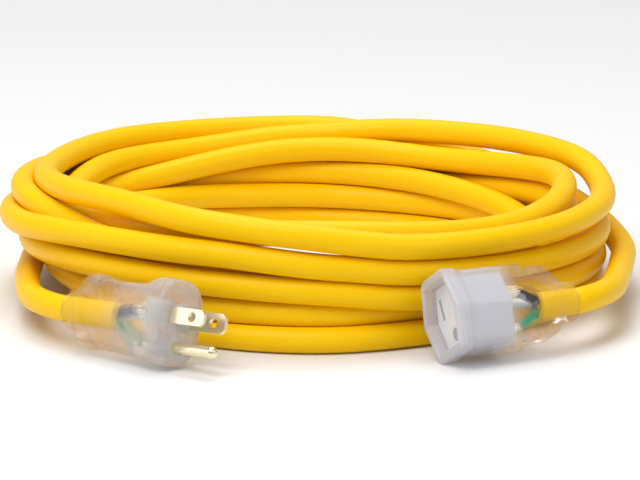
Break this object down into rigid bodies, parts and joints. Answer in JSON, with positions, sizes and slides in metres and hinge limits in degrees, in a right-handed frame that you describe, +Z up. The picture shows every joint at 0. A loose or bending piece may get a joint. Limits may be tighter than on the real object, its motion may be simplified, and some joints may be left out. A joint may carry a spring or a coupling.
{
  "type": "extension cord",
  "caption": "Coiled heavy-duty three-wire extension cord with a grounded plug at one end and a grounded connector at the other, both in clear moulded housings.",
  "frame": {"origin": "middle of the whole object's footprint, on the surface it lies on", "axes": "+Z up; +X to the viewer's right with both ends in front; +Y away from both ends, across the coil"},
  "size_m": [0.2577, 0.2869, 0.05],
  "materials": {
    "yellow_jacket": "satin moulded vinyl jacket",
    "clear_pvc": "clear, slightly frosted",
    "frosted_pvc": "frosted",
    "white_carrier": "satin white",
    "brass": "bright stamped brass",
    "copper_strands": "bare stranded copper",
    "black_insulation": "satin",
    "white_insulation": "satin",
    "green_insulation": "satin"
  },
  "bodies": {
    "cord": {"cord_coil": "yellow_jacket", "plug_lead": "yellow_jacket", "connector_lead": "yellow_jacket"},
    "plug": {"plug_housing": "clear_pvc", "plug_blade_carrier": "frosted_pvc", "hot_blade": "brass", "neutral_blade": "brass", "ground_pin": "brass", "plug_jacket_end": "yellow_jacket", "plug_hot_wire": "black_insulation", "plug_neutral_wire": "white_insulation", "plug_ground_wire": "green_insulation", "plug_hot_strands": "copper_strands", "plug_neutral_strands": "copper_strands", "plug_ground_strands": "copper_strands"},
    "connector": {"connector_housing": "clear_pvc", "contact_carrier": "white_carrier", "hot_contact": "brass", "neutral_contact": "brass", "ground_contact": "brass", "connector_jacket_end": "yellow_jacket", "connector_hot_wire": "black_insulation", "connector_neutral_wire": "white_insulation", "connector_ground_wire": "green_insulation", "connector_hot_strands": "copper_strands", "connector_neutral_strands": "copper_strands", "connector_ground_strands": "copper_strands"},
    "hot_inner_leaf": {"hot_contact_inner_leaf": "brass"},
    "hot_outer_leaf": {"hot_contact_outer_leaf": "brass"},
    "neutral_inner_leaf": {"neutral_contact_inner_leaf": "brass"},
    "neutral_outer_leaf": {"neutral_contact_outer_leaf": "brass"},
    "ground_left_leaf": {"ground_contact_left_leaf": "brass"},
    "ground_right_leaf": {"ground_contact_right_leaf": "brass"}
  },
  "joints": [
    {"name": "plug_flex", "type": "hinge", "parent": "cord", "child": "plug", "pos_m": [-0.0998, -0.087, 0.0148], "axis": [0, 0, 1], "range_deg": [-30, 8], "stiffness_Nm_per_rad": 0.3},
    {"name": "connector_flex", "type": "hinge", "parent": "cord", "child": "connector", "pos_m": [0.1, -0.0905, 0.0189], "axis": [0, 0, 1], "range_deg": [-3, 28], "stiffness_Nm_per_rad": 0.3},
    {"name": "hot_outer_leaf_flex", "type": "hinge", "parent": "connector", "child": "hot_outer_leaf", "pos_m": [0.06419, -0.11339, 0.02614], "axis": [-0.227, 0.4455, 0.866], "range_deg": [0, 2.5], "stiffness_Nm_per_rad": 0.005},
    {"name": "hot_inner_leaf_flex", "type": "hinge", "parent": "connector", "child": "hot_inner_leaf", "pos_m": [0.06352, -0.11208, 0.02529], "axis": [-0.227, 0.4455, 0.866], "range_deg": [-2.5, 0], "stiffness_Nm_per_rad": 0.005},
    {"name": "neutral_inner_leaf_flex", "type": "hinge", "parent": "connector", "child": "neutral_inner_leaf", "pos_m": [0.05919, -0.10359, 0.01979], "axis": [-0.227, 0.4455, 0.866], "range_deg": [0, 2.5], "stiffness_Nm_per_rad": 0.005},
    {"name": "neutral_outer_leaf_flex", "type": "hinge", "parent": "connector", "child": "neutral_outer_leaf", "pos_m": [0.05853, -0.10228, 0.01894], "axis": [-0.227, 0.4455, 0.866], "range_deg": [-2.5, 0], "stiffness_Nm_per_rad": 0.005},
    {"name": "ground_right_leaf_flex", "type": "hinge", "parent": "connector", "child": "ground_right_leaf", "pos_m": [0.06503, -0.11505, 0.01347], "axis": [-0.227, 0.4455, 0.866], "range_deg": [0, 2.5], "stiffness_Nm_per_rad": 0.005},
    {"name": "ground_left_leaf_flex", "type": "hinge", "parent": "connector", "child": "ground_left_leaf", "pos_m": [0.06308, -0.11122, 0.01099], "axis": [-0.227, 0.4455, 0.866], "range_deg": [-2.5, 0], "stiffness_Nm_per_rad": 0.005}
  ],
  "couplings": [
    {"joint": "hot_inner_leaf_flex", "follows": "hot_outer_leaf_flex", "ratio": -1},
    {"joint": "neutral_outer_leaf_flex", "follows": "neutral_inner_leaf_flex", "ratio": -1},
    {"joint": "ground_left_leaf_flex", "follows": "ground_right_leaf_flex", "ratio": -1}
  ]
}
